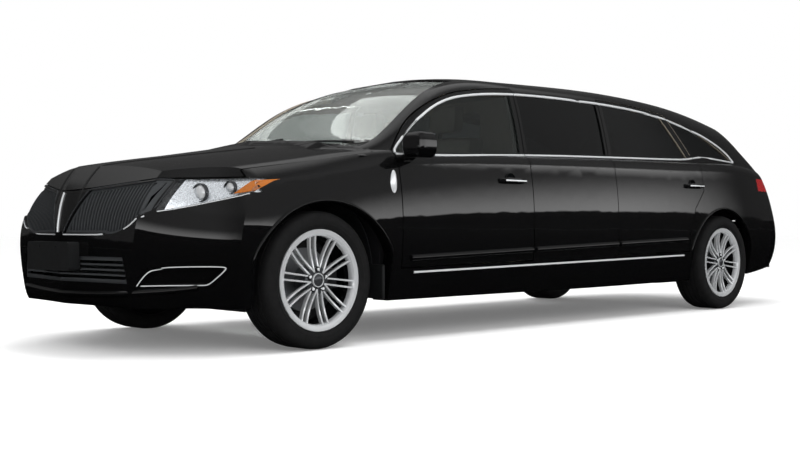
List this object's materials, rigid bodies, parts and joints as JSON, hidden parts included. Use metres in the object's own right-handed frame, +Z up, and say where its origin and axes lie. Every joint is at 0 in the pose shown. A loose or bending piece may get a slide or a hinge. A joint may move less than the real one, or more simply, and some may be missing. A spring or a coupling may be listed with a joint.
{
  "type": "stretch limousine",
  "caption": "Long black limousine on a crossover body: split grille, stretched saloon between hinged doors, raked roof and tailgate, opening hood and steered front wheels.",
  "frame": {"origin": "on the ground, under the middle of the car's length and width", "axes": "+X forward, +Y to the car's left, +Z up"},
  "size_m": [6.4766, 2.2, 1.7146],
  "materials": {
    "paint": "gloss black paint",
    "clear_glass": "lightly tinted glass",
    "dark_glass": "dark tinted glass",
    "red_lens": "red lamp lens",
    "lamp_lens": "clear lamp lens",
    "tyre": "black rubber",
    "alloy": "polished alloy",
    "black_plastic": "satin black",
    "trim": "grained",
    "leather": "soft satin",
    "cast_metal": "cast",
    "chassis_steel": "satin black"
  },
  "bodies": {
    "car_body": {"body_shell": "paint", "front_bumper": "paint", "rear_bumper": "paint", "cowl": "paint", "windscreen": "clear_glass", "quarter_glass": "dark_glass", "corner_lamps": "red_lens", "grille": "black_plastic", "plate_bracket": "black_plastic", "front_frame": "chassis_steel", "front_subframe": "chassis_steel", "front_struts": "chassis_steel", "rear_axle": "chassis_steel", "wheel_liners": "black_plastic", "floor_pan": "chassis_steel", "engine": "cast_metal", "radiator": "cast_metal", "fuel_tank": "chassis_steel", "exhaust": "chassis_steel", "dashboard": "trim", "front_seats": "leather", "partition": "trim", "side_bench": "leather", "rear_bench": "leather", "front_fender_left": "paint", "front_fender_right": "paint", "headlamp_left": "lamp_lens", "headlamp_right": "lamp_lens", "filler_panel_left": "paint", "filler_panel_right": "paint", "filler_glass_left": "dark_glass", "filler_glass_right": "dark_glass"},
    "hood": {"hood": "paint"},
    "tailgate": {"tailgate": "paint", "tailgate_glass": "dark_glass", "tailgate_lamps": "red_lens"},
    "steering_wheel": {"steering_wheel": "black_plastic"},
    "front_door_left": {"front_door_left": "paint", "front_door_glass_left": "clear_glass", "door_mirror_left": "paint"},
    "rear_door_left": {"rear_door_left": "paint", "rear_door_glass_left": "dark_glass"},
    "front_upright_left": {"front_knuckle_left": "chassis_steel"},
    "front_wheel_left": {"tyre_front_left": "tyre", "rim_front_left": "alloy"},
    "rear_wheel_left": {"tyre_rear_left": "tyre", "rim_rear_left": "alloy"},
    "front_door_right": {"front_door_right": "paint", "front_door_glass_right": "clear_glass", "door_mirror_right": "paint"},
    "rear_door_right": {"rear_door_right": "paint", "rear_door_glass_right": "dark_glass"},
    "front_upright_right": {"front_knuckle_right": "chassis_steel"},
    "front_wheel_right": {"tyre_front_right": "tyre", "rim_front_right": "alloy"},
    "rear_wheel_right": {"tyre_rear_right": "tyre", "rim_rear_right": "alloy"}
  },
  "joints": [
    {"name": "front_door_left_hinge", "type": "hinge", "parent": "car_body", "child": "front_door_left", "pos_m": [1.6205, 0.97, 0.75], "axis": [0, 0, -1], "range_deg": [0, 65]},
    {"name": "rear_door_left_hinge", "type": "hinge", "parent": "car_body", "child": "rear_door_left", "pos_m": [-0.4945, 0.97, 0.75], "axis": [0, 0, -1], "range_deg": [0, 65]},
    {"name": "steering_left", "type": "hinge", "parent": "car_body", "child": "front_upright_left", "pos_m": [2.2055, 0.725, 0.3685], "axis": [0, 0, 1], "range_deg": [-32, 32]},
    {"name": "front_wheel_left_spin", "type": "hinge", "parent": "front_upright_left", "child": "front_wheel_left", "pos_m": [2.2055, 0.8305, 0.3685], "axis": [0, 1, 0], "continuous": true},
    {"name": "rear_wheel_left_spin", "type": "hinge", "parent": "car_body", "child": "rear_wheel_left", "pos_m": [-1.9595, 0.8305, 0.3685], "axis": [0, 1, 0], "continuous": true},
    {"name": "front_door_right_hinge", "type": "hinge", "parent": "car_body", "child": "front_door_right", "pos_m": [1.6205, -0.97, 0.75], "axis": [0, 0, 1], "range_deg": [0, 65]},
    {"name": "rear_door_right_hinge", "type": "hinge", "parent": "car_body", "child": "rear_door_right", "pos_m": [-0.4945, -0.97, 0.75], "axis": [0, 0, 1], "range_deg": [0, 65]},
    {"name": "steering_right", "type": "hinge", "parent": "car_body", "child": "front_upright_right", "pos_m": [2.2055, -0.725, 0.3685], "axis": [0, 0, 1], "range_deg": [-32, 32]},
    {"name": "front_wheel_right_spin", "type": "hinge", "parent": "front_upright_right", "child": "front_wheel_right", "pos_m": [2.2055, -0.8305, 0.3685], "axis": [0, 1, 0], "continuous": true},
    {"name": "rear_wheel_right_spin", "type": "hinge", "parent": "car_body", "child": "rear_wheel_right", "pos_m": [-1.9595, -0.8305, 0.3685], "axis": [0, 1, 0], "continuous": true},
    {"name": "hood_hinge", "type": "hinge", "parent": "car_body", "child": "hood", "pos_m": [1.7305, 0, 1.14], "axis": [0, -1, 0], "range_deg": [0, 50]},
    {"name": "tailgate_hinge", "type": "hinge", "parent": "car_body", "child": "tailgate", "pos_m": [-2.3795, 0, 1.565], "axis": [0, 1, 0], "range_deg": [0, 75]},
    {"name": "steering_wheel_turn", "type": "hinge", "parent": "car_body", "child": "steering_wheel", "pos_m": [1.1455, 0.38, 0.985], "axis": [-0.9063, 0, 0.4226], "range_deg": [-416, 416]}
  ],
  "couplings": [
    {"joint": "steering_right", "follows": "steering_left", "ratio": 1},
    {"joint": "steering_wheel_turn", "follows": "steering_left", "ratio": 13}
  ]
}
